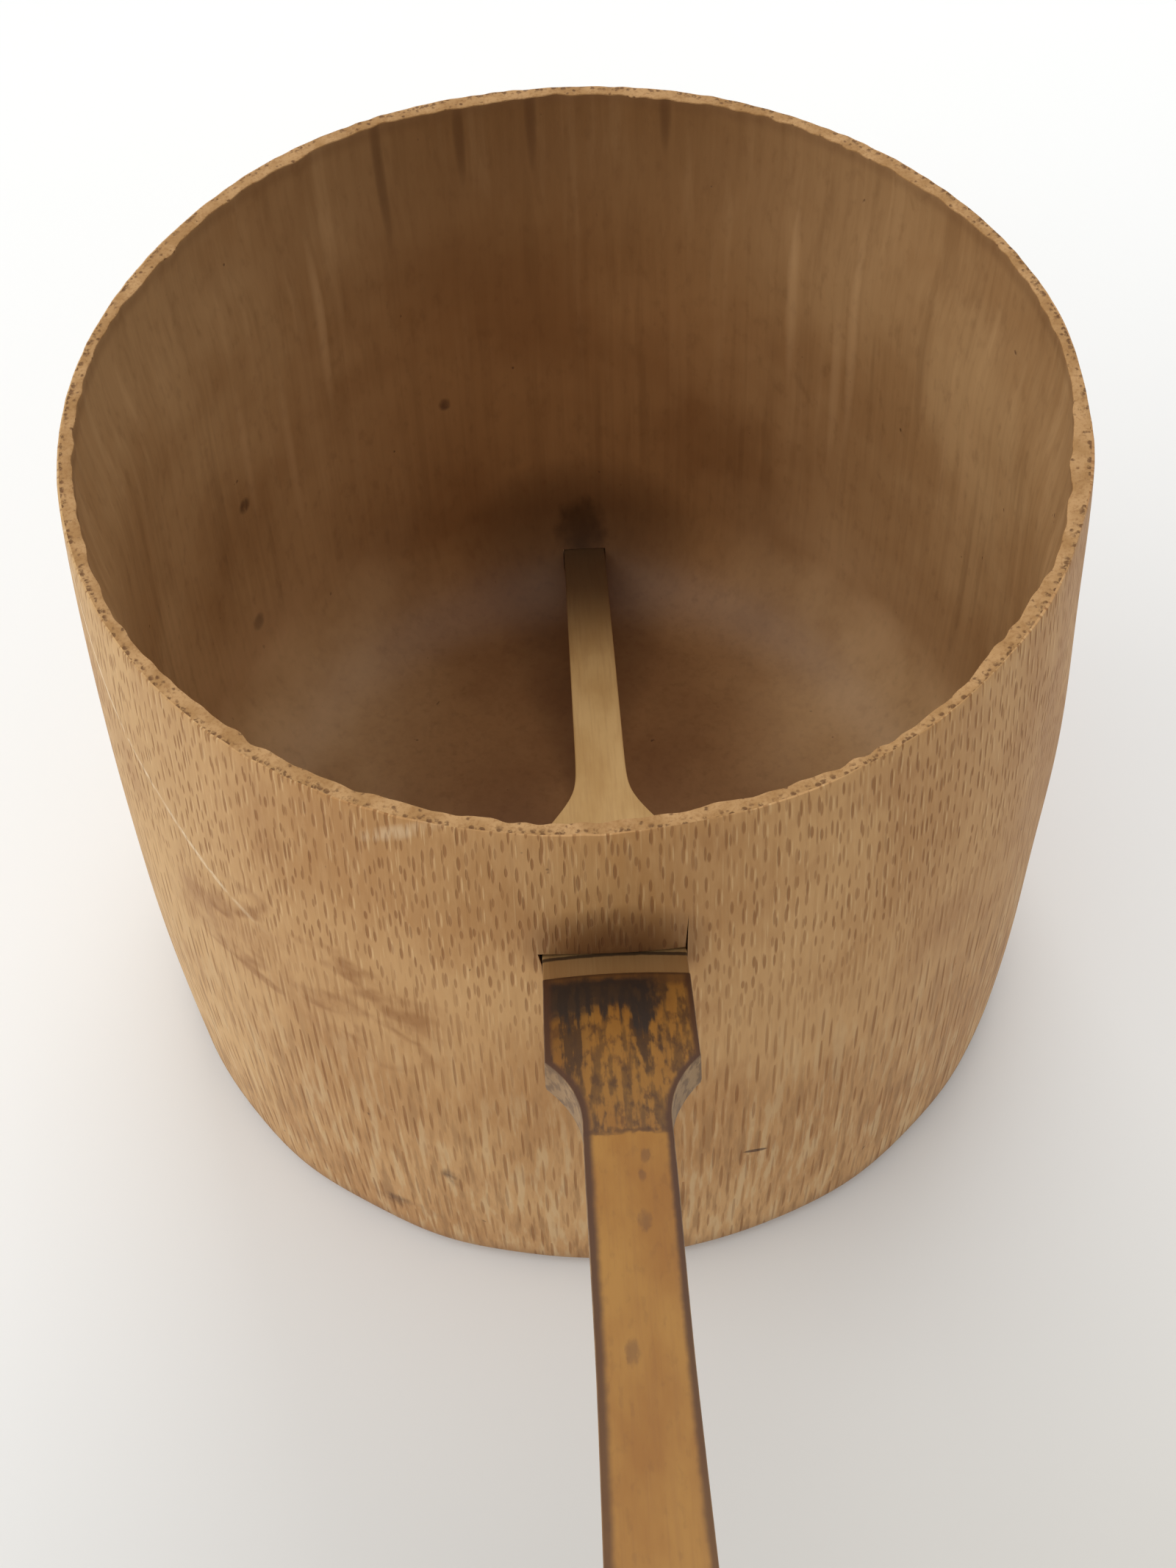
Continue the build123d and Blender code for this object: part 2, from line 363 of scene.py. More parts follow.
half_slot = HEAD_WIDTH / 2 + FIT_CLEARANCE
slot_top = -SKIN_SHAVE + FIT_CLEARANCE
slot_bottom = -HEAD_THICKNESS - FIT_CLEARANCE
slot_outline = [(half_slot, slot_bottom), (half_slot, slot_top), (-half_slot - GAP_WIDTH, slot_top),
                (-half_slot, slot_top - GAP_DEPTH), (-half_slot, slot_bottom)]
crack_foot = half_slot - CRACK_WIDTH
crack_outline = [(half_slot, slot_top - 0.1), (half_slot + 0.05, slot_top + CRACK_LENGTH),
                 (crack_foot, slot_top - 0.1)]
half_mortise = TONGUE_WIDTH / 2 + FIT_CLEARANCE
mortise_bottom = slot_top - TONGUE_THICKNESS - 2 * FIT_CLEARANCE
mortise_outline = [(half_mortise, mortise_bottom), (half_mortise, slot_top),
                   (-half_mortise, slot_top), (-half_mortise, mortise_bottom)]

# %% [markdown]
# ## The handle's outline
# Seen from above the handle is a thin tongue, a wide head that fills the slot, two hollow-cut shoulders, a
# narrow waist and a grip that widens slowly to its end. Seen from the side, its skin was shaved off the
# inner part and the head, and the skin line swells a little at the strip's own node. Both outlines are
# functions of the distance along the handle, which runs outwards from the wall.

# %% The handle's width, thickness and skin line
SHOULDER_RADIUS = (SHOULDER_LENGTH ** 2 + ((HEAD_WIDTH - NECK_WIDTH) / 2) ** 2) / (HEAD_WIDTH - NECK_WIDTH)
SHAVE_SLOPE = 0.35     # length of the knife's way out at the end of the shaved part
NODE_HALF_LENGTH = 2.2
NODE_GROOVE = 0.35     # depth of the groove beyond the node's ridge, and half its length
GROOVE_OFFSET = 1.5    # from the ridge to the groove
TONGUE_BLEND = 0.50    # half-width over which the tongue eases into its taper
WAIST_BLEND = 6.0      # length over which the waist eases into the widening grip
neck_start = HEAD_OUTSIDE + SHOULDER_LENGTH
tongue_start = HEAD_INSIDE + TONGUE_TAPER


def eased(value, start, end):
    """0 before start, 1 after end, with a smooth cubic between."""
    share = np.clip((value - start) / (end - start), 0, 1)
    return share * share * (3 - 2 * share)


def half_width(reach):
    """Straight stretches between the named widths, an arc for the shoulders, and soft blends between."""
    taper = TONGUE_WIDTH / 2 + (HEAD_WIDTH - TONGUE_WIDTH) / 2 * (reach + tongue_start) / TONGUE_TAPER
    tongue = TONGUE_WIDTH / 2 + TONGUE_BLEND * np.logaddexp(0, (taper - TONGUE_WIDTH / 2) / TONGUE_BLEND)
    inner = np.minimum(tongue, HEAD_WIDTH / 2)
    to_neck = np.clip(neck_start - reach, 0, SHOULDER_LENGTH)
    shoulder = NECK_WIDTH / 2 + SHOULDER_RADIUS - np.sqrt(SHOULDER_RADIUS ** 2 - to_neck ** 2)
    neck = NECK_WIDTH / 2 + (WAIST_WIDTH - NECK_WIDTH) / 2 * eased(reach, neck_start, WAIST_DISTANCE)
    widening = (GRIP_END_WIDTH - WAIST_WIDTH) / 2 / (grip_reach - WAIST_DISTANCE)
    past_waist = WAIST_BLEND * np.logaddexp(0, (reach - WAIST_DISTANCE) / WAIST_BLEND)
    grip = neck + widening * past_waist * (reach > neck_start)
    outer = np.where(reach < neck_start, shoulder, grip)
    return np.where(reach < HEAD_OUTSIDE, inner, outer)


def skin_lift(reach):
    """The upper face: shaved inside and at the slot, level outside, with a ridge and a groove at the node."""
    shaved = -SKIN_SHAVE * (1 - eased(reach, SHAVE_REACH, SHAVE_REACH + SHAVE_SLOPE))
    from_node = (reach - NODE_DISTANCE) / NODE_HALF_LENGTH
    ridge = NODE_RISE * np.exp(-from_node ** 2)
    groove = NODE_GROOVE * np.exp(-((reach - NODE_DISTANCE - GROOVE_OFFSET) / NODE_GROOVE) ** 2)
    return shaved + ridge - groove


def under_lift(reach):
    """The underside: the tongue's, then the head's, then falling away slowly to the end of the grip."""
    head = SKIN_SHAVE + TONGUE_THICKNESS
    inner = head + (HEAD_THICKNESS - head) * eased(reach, -tongue_start, -HEAD_INSIDE)
    share = np.clip((reach - WAIST_DISTANCE) / (grip_reach - WAIST_DISTANCE), 0, 1)
    return -(inner + (GRIP_END_THICKNESS - HEAD_THICKNESS) * share)


# %% [markdown]
# ## Wrapping the handle
# The handle's cross-section is a rectangle with eased corners and a slightly crowned top, the curve of the
# thick culm it was split from. Rings of that section follow the handle's line, closer together where the
# outline changes fast. The end rings lean, because the tip is cut flush with the wall and the grip's end is
# cut on the slant. Each point also keeps its distance from the edge of the skin, which the finish uses for
# the dark line along the edge.

# %% The handle's skin
CULM_CURVE = 40.0      # radius of the culm that the strip came from
TOP_EASE = 0.10        # rounding of the upper edges
UNDER_EASE = 0.40      # rounding of the lower edges
TOP_POINTS = 17
CORNER_POINTS = 4

reach_stops = np.concatenate([
    line(tip_reach, -tongue_start - 5, 60), line(-tongue_start - 5, -HEAD_INSIDE + 1, 60),
    line(-HEAD_INSIDE + 1, SHAVE_REACH - 0.2, 30), line(SHAVE_REACH - 0.2, SHAVE_REACH + 0.6, 14),
    line(SHAVE_REACH + 0.6, HEAD_OUTSIDE, 30), line(HEAD_OUTSIDE, neck_start + 1, 60),
    line(neck_start + 1, NODE_DISTANCE - 6, 190), line(NODE_DISTANCE - 6, NODE_DISTANCE + 6, 80),
    line(NODE_DISTANCE + 6, grip_reach, 190), [grip_reach]])
reach = reach_stops[:, None]
half = half_width(reach)

corner = np.radians(np.linspace(0, 90, CORNER_POINTS))
flat = np.linspace(-1, 1, TOP_POINTS + 2)[1:-1]
top_side = flat * (half - TOP_EASE)
right_top = half - TOP_EASE + TOP_EASE * np.sin(corner), -TOP_EASE + TOP_EASE * np.cos(corner)
right_under = half - UNDER_EASE + UNDER_EASE * np.cos(corner), UNDER_EASE - UNDER_EASE * np.sin(corner)
under_side = -flat * (half - UNDER_EASE)
side = np.concatenate([top_side, right_top[0], right_under[0], under_side,
                       -right_under[0][:, ::-1], -right_top[0][:, ::-1]], axis=1)
crown = -side ** 2 / (2 * CULM_CURVE)
top = skin_lift(reach) + crown
under = np.broadcast_to(under_lift(reach), side.shape)
lift = np.concatenate([
    np.zeros_like(top_side), np.broadcast_to(right_top[1], right_top[0].shape),
    np.broadcast_to(right_under[1], right_under[0].shape), np.zeros_like(under_side),
    np.broadcast_to(right_under[1][::-1], right_under[0].shape),
    np.broadcast_to(right_top[1][::-1], right_top[0].shape)], axis=1)
is_top = np.concatenate([
    np.ones(TOP_POINTS + CORNER_POINTS), np.zeros(TOP_POINTS + 2 * CORNER_POINTS),
    np.ones(CORNER_POINTS)]).astype(bool)
lift = lift + np.where(is_top, top, under)

# the leaning ends: each ring slides along by a share of the end cut's lean
share = (reach - tip_reach) / (grip_reach - tip_reach)
tip_lean = (lift + SKIN_SHAVE) * math.tan(slope)
grip_lean = np.minimum(lift, 0) * END_BEVEL / GRIP_END_THICKNESS
leaning = reach + tip_lean * np.clip(1 - share * 20, 0, 1) + grip_lean * np.clip(1 - (1 - share) * 20, 0, 1)
handle_rings = along_handle(side, leaning, lift)
handle_mesh = closed_skin("handle_skin", handle_rings)
handle = place("handle_skin", handle_mesh)
edge_distance = np.where(is_top, half - np.abs(side), 0)
attribute = handle_mesh.attributes.new("from_edge", "FLOAT", "POINT")
attribute.data.foreach_set("value", np.append(edge_distance.ravel(), [0, 0]).astype(np.float32))
report("handle skin", handle_mesh)

# %% [markdown]
# ## Writing finishes as formulas
# A finish is a web of nodes, which is hard to read as a list of links. The class below wraps one output of
# a node, so that a mask such as `1 - edge * 2` can be written as it is said, and each sign adds the Math
# node that does it. The second class holds one material and adds every other node through a single method.

# %% Wires and finishes
class Wire:
    """One output of a node, on which ordinary arithmetic adds Math nodes."""

    def __init__(self, finish, socket):
        self.finish = finish
        self.socket = socket

    def maths(self, operation, *numbers):
        return self.finish.node("Math", {"operation": operation}, dict(enumerate(numbers)))

    def __add__(self, other):
        return self.maths("ADD", self, other)

    def __sub__(self, other):
        return self.maths("SUBTRACT", self, other)

    def __rsub__(self, other):
        return self.maths("SUBTRACT", other, self)

    def __mul__(self, other):
        return self.maths("MULTIPLY", self, other)

    def __truediv__(self, other):
        return self.maths("DIVIDE", self, other)

    def __neg__(self):
        return self * -1

    def __pow__(self, other):
        return self.maths("POWER", self, other)

    __radd__ = __add__
    __rmul__ = __mul__

    def size(self):
        return self.maths("ABSOLUTE", self)

    def sine(self):
        return self.maths("SINE", self)

    def whole(self):
        return self.maths("FLOOR", self)

    def rest(self):
        return self.maths("FRACT", self)

    def at_most(self, other):
        return self.maths("MINIMUM", self, other)

    def at_least(self, other):
        return self.maths("MAXIMUM", self, other)

    def ease(self, zero, one):
        """0 where the value is at zero, 1 where it is at one, smooth between; zero may be the larger."""
        settings = {"interpolation_type": "SMOOTHSTEP"}
        low, high = sorted((zero, one))
        rising = self.finish.node("MapRange", settings, {"Value": self, "From Min": low, "From Max": high})
        return 1 - rising if zero > one else rising


def paint(red, green, blue):
    """A colour given in the 0 to 255 steps of a colour chart, as the linear light that a shader works in."""
    share = np.array([red, green, blue]) / 255
    light = np.where(share <= 0.04045, share / 12.92, ((share + 0.055) / 1.055) ** 2.4)
    return (*(float(value) for value in light), 1.0)


class Finish:
    """One material. Places on the piece are read in millimetres from its Object coordinates."""

    def __init__(self, name):
        self.material = bpy.data.materials.new(name)
        self.material.use_nodes = True
        self.tree = self.material.node_tree
        self.tree.nodes.clear()
        spot = self.node("TexCoord", output="Object")
        self.spot = self.node("VectorMath", {"operation": "SCALE"}, {"Vector": spot, "Scale": 1 / MM})

    def node(self, kind, settings=(), values=(), output=0):
        """Adds a node of that type, sets its settings first, then fills or links its sockets."""
        made = self.tree.nodes.new("ShaderNode" + kind)
        for key, value in dict(settings).items():
            setattr(made, key, value)
        for key, value in dict(values).items():
            socket = self.find(made.inputs, key)
            if isinstance(value, Wire):
                self.tree.links.new(value.socket, socket)
            else:
                socket.default_value = value
        return Wire(self, self.find(made.outputs, output)) if made.outputs else None

    @staticmethod
    def find(sockets, key):
        """A socket by its number, its identifier or its name."""
        if isinstance(key, int):
            return sockets[key]
        by_identifier = [socket for socket in sockets if socket.identifier == key]
        return by_identifier[0] if by_identifier else sockets[key]

    def mix(self, share, first, second):
        """A colour between two: the first where the share is 0, the second where it is 1."""
        values = {"Factor_Float": share, "A_Color": first, "B_Color": second}
        return self.node("Mix", {"data_type": "RGBA"}, values, output="Result_Color")

    def dot(self, direction):
        """How far a place lies in a direction."""
        values = {0: self.spot, 1: tuple(float(value) for value in direction)}
        return self.node("VectorMath", {"operation": "DOT_PRODUCT"}, values, output="Value")

    def from_axis(self):
        """How far a place lies from the culm's axis."""
        level = self.node("VectorMath", {"operation": "MULTIPLY"}, {0: self.spot, 1: (1, 1, 0)})
        return self.node("VectorMath", {"operation": "LENGTH"}, {0: level}, output="Value")

    def vector(self, x=0.0, y=0.0, z=0.0):
        return self.node("CombineXYZ", {}, {"X": x, "Y": y, "Z": z})

    def noise(self, place, detail=3.0):
        """Cloudy noise of about one lump to a unit of place, from 0 to 1."""
        values = {"Vector": place, "Scale": 1.0, "Detail": detail, "Roughness": 0.55}
        return self.node("TexNoise", {}, values)

    def lumps(self, per_millimetre, detail):
        """Noise that is drawn out in no direction."""
        scaled = self.node("VectorMath", {"operation": "SCALE"}, {0: self.spot, "Scale": per_millimetre})
        return self.noise(scaled, detail)

    def cells(self, per_millimetre, randomness=1.0):
        """Distance from the nearest of scattered points, for pores and pits."""
        values = {"Vector": self.spot, "Scale": per_millimetre, "Randomness": randomness}
        return self.node("TexVoronoi", {}, values, output="Distance")

    def grain(self, width, length, detail=3.0, shift=0.0):
        """Noise drawn out along the culm: lumps of that width and that length, in millimetres."""
        stretch = {0: self.spot, 1: (1 / width, 1 / width, 1 / length), 2: (shift, shift, shift)}
        return self.noise(self.node("VectorMath", {"operation": "MULTIPLY_ADD"}, stretch), detail)

    def done(self, colour, roughness, height, relief, gloss=0.35):
        """Joins the shader. Height runs from 0 to 1 and stands for that many millimetres of relief."""
        bump = self.node("Bump", {}, {"Strength": 1.0, "Distance": relief * MM, "Height": height})
        values = {"Base Color": colour, "Roughness": roughness, "Normal": bump, "Specular IOR Level": gloss}
        shader = self.node("BsdfPrincipled", {}, values)
        self.node("OutputMaterial", {}, {"Surface": shader})
        return self.material


# %% [markdown]
# ## The scraped outside of the cup
# With its green skin scraped away, a culm shows its fibre bundles end on near the mouth, where the knife
# crossed them, as short brown dashes with a pale fleck beside each, and drawn out in long soft streaks
# lower down. Cells counted round the culm carry one dash each, so the pattern closes on itself at the back.
# Old water stains, a few scratches and small dark marks lie over it.

# %% Dashes of fibre
def fibre_dashes(finish, turn, height, columns, pitch, width, length, chance, seed):
    """One long oval to a cell of the grid round the culm, with a random shift, size and depth of colour.

    There are that many columns of cells round the culm, each cell is one pitch high in millimetres, and the
    oval's half width and half length are shares of the cell. Returns the dash and the pale fleck beside it.
    """
    across_cell = turn * columns + seed * 0.37
    column = across_cell.whole()
    shuffle = finish.node("TexWhiteNoise", {"noise_dimensions": "2D"},
                          {"Vector": finish.vector(column, seed)}, output="Value")
    along_cell = height / pitch + shuffle * 17
    row = along_cell.whole()
    dice = finish.node("TexWhiteNoise", {"noise_dimensions": "3D"},
                       {"Vector": finish.vector(column, row, seed)}, output="Color")
    split = finish.node("SeparateColor", {}, {"Color": dice})
    lucky = Wire(finish, split.socket.node.outputs[1])
    third = Wire(finish, split.socket.node.outputs[2])
    side = across_cell.rest() - 0.5 - (split - 0.5) * 0.45
    rise = along_cell.rest() - 0.5 - (third - 0.5) * 0.3
    wide = width * (0.7 + lucky * 0.6)
    tall = length * (0.6 + third * 0.7)
    inside = 1 - (side / wide) ** 2 - (rise / tall) ** 2
    dash = inside.ease(0.0, 0.7) * (lucky.ease(1 - chance, 1 - chance + 0.05) * (0.45 + split * 0.55))
    beside = 1 - ((side - width * 1.9) / (wide * 0.8)) ** 2 - ((rise + 0.06) / tall) ** 2
    fleck = beside.ease(0.1, 0.9) * third.ease(0.45, 0.8)
    return dash, fleck


def round_culm(finish):
    """The share of a turn round the culm, 0.5 at the handle's side, and the height."""
    east, north, height = (finish.dot(axis) for axis in np.eye(3))
    angle = finish.node("Math", {"operation": "ARCTAN2"}, {0: east, 1: -north})
    return angle / FULL_TURN + 0.5, height


def spot_mark(turn, height, degrees, at, half_across, half_up, lean=0.0):
    """A soft oval mark at an angle from the handle, towards +X, and a height; lean tilts it."""
    side = (turn - 0.5 - degrees / 360) * (FULL_TURN * MOUTH_RADIUS)
    rise = height - at - side * lean
    return (1 - (side / half_across) ** 2 - (rise / half_up) ** 2).at_least(0)


# %% Finish of the outside
def scraped_bamboo():
    finish = Finish("scraped_bamboo")
    turn, height = round_culm(finish)
    low = height.ease(34, 10)
    clouds = finish.grain(11, 16, detail=4, shift=3.1)
    blotches = finish.grain(4.5, 7, detail=4, shift=11.7)
    fibre = finish.grain(0.32, 2.6, detail=3, shift=5.3)
    streaks = finish.grain(0.6, 6.5, detail=4, shift=8.9)

    colour = finish.mix(clouds.ease(0.35, 0.65), paint(178, 130, 78), paint(197, 152, 100))
    # painted light: the left of the outside is painted lighter, for the light that comes from the left
    west_painted_light = -finish.dot((1, 0, 0))
    colour = finish.mix(west_painted_light.ease(14, 31) * 0.5, colour, paint(216, 180, 126))
    colour = finish.mix(blotches.ease(0.5, 0.72) * 0.4, colour, paint(158, 108, 60))
    colour = finish.mix(fibre.ease(0.42, 0.7) * 0.22, colour, paint(212, 168, 116))
    colour = finish.mix(streaks.ease(0.50, 0.64) * (0.06 + low * 0.46), colour, paint(140, 100, 58))
    colour = finish.mix(streaks.ease(0.48, 0.36) * (0.05 + low * 0.46), colour, paint(208, 178, 134))

    # the dashes of fibre and their flecks: three sets that overlap, the long one low down
    short, short_fleck = fibre_dashes(finish, turn, height, columns=300, pitch=2.0, width=0.155, length=0.38,
                                      chance=0.95, seed=1.0)
    other, other_fleck = fibre_dashes(finish, turn, height, columns=330, pitch=2.7, width=0.14, length=0.30,
                                      chance=0.85, seed=2.0)
    long, long_fleck = fibre_dashes(finish, turn, height, columns=310, pitch=4.4, width=0.17, length=0.44,
                                    chance=0.9, seed=3.0)
    high = height.ease(26, 38)
    dash = (short * (0.2 + high * 0.65)).at_least(other * high * 0.85).at_least(long * (0.75 - high * 0.6))
    fleck = (short_fleck * high).at_least(other_fleck * high * 0.8).at_least(long_fleck * 0.5)
    colour = finish.mix(fleck * 0.42, colour, paint(228, 190, 138))
    colour = finish.mix(dash * 0.72, colour, paint(124, 74, 34))

    # a darker patch above the slot, a tide line to its left, and darker towards the foot
    darker_patches = spot_mark(turn, height, 1.6, 40.0, 5.4, 4.2) * 0.85
    cloud_edge = finish.grain(2.2, 3.0, detail=5, shift=1.9)
    tide = finish.grain(9, 5, detail=2, shift=13.3)
    on_left = spot_mark(turn, height, -35, 30.0, 11, 8.5).ease(0, 0.6)
    tide_line = tide.ease(0.47, 0.53) * tide.ease(0.62, 0.53) * on_left * cloud_edge.ease(0.3, 0.6)
    colour = finish.mix(tide_line * 0.62, colour, paint(138, 86, 36))
    darker_patches = darker_patches * cloud_edge.ease(0.1, 0.5) + height.ease(3.0, 0.6) * 0.35
    colour = finish.mix(darker_patches.at_most(0.8), colour, paint(96, 58, 28))
    # small dark marks
    marks = spot_mark(turn, height, 17.6, 13.7, 0.9, 0.22, -0.35).ease(0, 0.5)
    marks = marks + spot_mark(turn, height, -19.2, 11.5, 0.8, 1.5).ease(0, 1.0) * cloud_edge.ease(0.35, 0.6)
    marks = marks + spot_mark(turn, height, -26.5, 4.6, 3.0, 1.1).ease(0, 1.2) * cloud_edge.ease(0.35, 0.6)
    speckle = finish.grain(0.8, 1.0, detail=2, shift=21.0).ease(0.76, 0.80)
    colour = finish.mix((marks * 0.8 + speckle * 0.5).at_most(0.85), colour, paint(70, 40, 22))

    # a curved pale scratch on the left and a worn place at the mouth
    along_scratch = (turn - 0.5 + 53.7 / 360) * (FULL_TURN * MOUTH_RADIUS)
    beside_scratch = height - 38.2 + along_scratch * 0.76 - along_scratch ** 2 * 0.02
    scratch = beside_scratch.size().ease(0.36, 0.08) * along_scratch.ease(8.6, 3.0)
    skips = finish.grain(0.9, 0.9, detail=3, shift=2.2).ease(0.30, 0.6)
    scratch = scratch * along_scratch.ease(-14, -11) * skips
    worn = spot_mark(turn, height, -20.5, 48.6, 3.2, 0.8, 0.55).ease(0, 1.4) * fibre.ease(0.35, 0.6)
    colour = finish.mix((scratch * 0.8 + worn * 0.45).at_most(1), colour, paint(236, 212, 176))

    relief = 0.62 + fibre * 0.16 + streaks * 0.10 - dash * 0.42 + fleck * 0.12
    rough = 0.56 + dash * 0.2 + clouds * 0.08
    return finish.done(colour, rough, relief, relief=0.09, gloss=0.30)


# %% [markdown]
# ## The sawn mouth and the other cut faces
# Sawn across, bamboo shows its bundles as dark pores, packed tightest just under the old skin. The cut is
# paler than the wall and slightly furry. The same finish does for the ring on the foot and for the sides of
# the slot.

# %% Finish of cut faces
def cut_bamboo():
    finish = Finish("cut_bamboo")
    pores = finish.cells(1.9, randomness=0.9)
    fine = finish.lumps(5.0, detail=4)
    clouds = finish.lumps(0.5, detail=3)
    pore = pores.ease(0.30, 0.10) * fine.ease(0.35, 0.6)
    from_middle = finish.from_axis()
    past_mouth = from_middle + clouds * 0.3 - MOUTH_RADIUS - 0.15
    pits = past_mouth.ease(-0.55, -0.20) * finish.cells(2.6).ease(0.52, 0.30)
    pore = pore.at_least(pits * fine.ease(0.35, 0.55))
    colour = finish.mix(clouds.ease(0.35, 0.65), paint(166, 124, 76), paint(188, 146, 98))
    colour = finish.mix(fine.ease(0.45, 0.7) * 0.5, colour, paint(146, 102, 58))
    colour = finish.mix(pore * 0.8, colour, paint(98, 62, 34))
    return finish.done(colour, 0.72 + fine * 0.12, fine * 0.6 - pore * 0.6 + 0.5, relief=0.10, gloss=0.25)


# %% [markdown]
# ## The inside of the cup
# The inside is the culm's own inner wall, never scraped: smoother than the outside, browner, and darkened
# by years of water. Fine lines run down it, with a few pale runs and dark specks. Light and shade are painted
# in too: painted shade darkens the back and the upper part of the wall, painted light brightens the two
# sides, and painted bounced light lightens them low down. Water sits longest at the tongue's tip, so the
# wall is darkest there, with painted shade where the tip goes into the wall.

# %% Finish of the inside
def aged_inside():
    finish = Finish("aged_inside")
    turn, height = round_culm(finish)
    clouds = finish.grain(13, 15, detail=4, shift=7.7)
    lines = finish.grain(0.5, 26, detail=3, shift=4.4)
    runs = finish.grain(1.5, 30, detail=4, shift=9.9)
    patch_cloud = finish.grain(9, 7, detail=5, shift=15.5)
    fine = finish.grain(0.7, 1.6, detail=3, shift=2.8)

    east = finish.dot((1, 0, 0)).size()
    # painted light and shade: the two sides of the inside are painted lighter than the back, and the back and
    # the top of the wall darker, for how light falls into the cup
    painted_light_flank = east.ease(6, 26)
    back = finish.mix(clouds.ease(0.35, 0.65), paint(150, 106, 64), paint(170, 126, 80))
    back = finish.mix(height.ease(30, 47) * 0.75, back, paint(122, 86, 50))
    sides = finish.mix(clouds.ease(0.35, 0.65), paint(178, 138, 92), paint(200, 162, 114))
    sides = finish.mix(height.ease(34, 46) * 0.5, sides, paint(150, 110, 70))
    colour = finish.mix(painted_light_flank, back, sides)
    colour = finish.mix(lines.ease(0.42, 0.66) * 0.12, colour, paint(112, 74, 40))
    walls = height.ease(10, 20)
    colour = finish.mix(runs.ease(0.52, 0.74) * walls * (0.10 + painted_light_flank * 0.26), colour, paint(206, 166, 118))
    colour = finish.mix(runs.ease(0.46, 0.30) * walls * 0.24, colour, paint(112, 76, 42))
    colour = finish.mix(fine.ease(0.5, 0.75) * 0.16, colour, paint(118, 80, 46))
    specks = finish.grain(0.85, 1.3, detail=2, shift=31.0).ease(0.75, 0.80)
    # pale and dark runs, specks, painted bounced light low down, and the dark place at the tongue's tip
    behind = (turn + 0.5).rest()
    pale_runs = ((-43, 34, 12), (-40.5, 30, 9), (-33, 36, 9), (44, 27, 10), (36, 36, 9), (52, 30, 8))
    for degrees, at, half_up in pale_runs:
        pale_run = spot_mark(behind, height, degrees, at, 0.55, half_up).ease(0, 1.2)
        colour = finish.mix(pale_run * (0.2 + runs * 0.4), colour, paint(214, 174, 126))
    for degrees, at, half_up in ((3.5, 49, 6), (13, 48, 5), (24, 47, 8), (-14, 49, 4)):
        dark_run = spot_mark(behind, height, degrees, at, 0.5, half_up).ease(0, 1.0)
        colour = finish.mix(dark_run * (0.25 + runs * 0.5), colour, paint(84, 52, 28))
    for degrees, at, size in ((54, 25.6, 0.7), (56, 14.2, 0.8), (18.5, 24.3, 0.6)):
        speck = spot_mark(behind, height, degrees, at, size, size * 1.2).ease(0, 0.9)
        specks = specks.at_least(speck * fine.ease(0.2, 0.5))
    colour = finish.mix(specks * 0.7, colour, paint(78, 48, 28))
    # painted bounced light: the wall is painted lighter low down on both sides, in soft patches
    low = height.ease(19, 9)
    painted_bounce = (0.35 + patch_cloud.ease(0.30, 0.65) * 0.65) * low * east.ease(9, 21)
    colour = finish.mix(painted_bounce * 0.66, colour, paint(224, 188, 142))
    # the tongue's tip: darkened by water, with painted shade where the tip goes into the far wall
    tip = spot_mark(behind, height, -1.0, 9.0, 11.0, 8.0)
    colour = finish.mix((tip * 0.7).at_most(0.6), colour, paint(84, 52, 30))
    blot = (spot_mark(behind, height, -1.2, 9.6, 2.6, 3.2) + (fine - 0.5) * 0.8).ease(0, 1.0)
    colour = finish.mix(blot * 0.7, colour, paint(56, 34, 19))
    lip = height.ease(48.6, 49.6) * 0.35
    colour = finish.mix(lip, colour, paint(104, 68, 38))
    relief = 0.5 + lines * 0.22 + runs * 0.15 + fine * 0.1 - specks * 0.4
    rough = 0.40 + patch_cloud * 0.14 + specks * 0.2
    return finish.done(colour, rough, relief, relief=0.06, gloss=0.4)


# %% [markdown]
# ## The underside
# The node's outer face is left as it grew inside its ring of cut wall: a dull brown skin with faint rings
# round its middle.

# %% Finish of the underside
def node_underside():
    finish = Finish("node_underside")
    from_middle = finish.from_axis()
    clouds = finish.grain(6, 6, detail=5, shift=6.6)
    rings = ((from_middle + clouds * 3) * 2.6).sine()
    colour = finish.mix(clouds.ease(0.35, 0.65), paint(146, 108, 68), paint(186, 150, 106))
    colour = finish.mix(rings.ease(0.2, 1.0) * 0.22, colour, paint(112, 76, 44))
    return finish.done(colour, 0.66 + clouds * 0.1, 0.5 + rings * 0.2 + clouds * 0.3, relief=0.12, gloss=0.25)


# %% [markdown]
# ## The handle
# Outside the cup the strip keeps its skin, polished orange-brown by hands, with a dark line where the skin
# was cut along each edge. The head is stained black where wet fingers and the slot hold the damp, in runs
# that follow the fibre. The shaved inner part and the cut sides are bare bamboo, paler and duller. All of
# it is one material that reads how far along, up and across the handle a place lies.

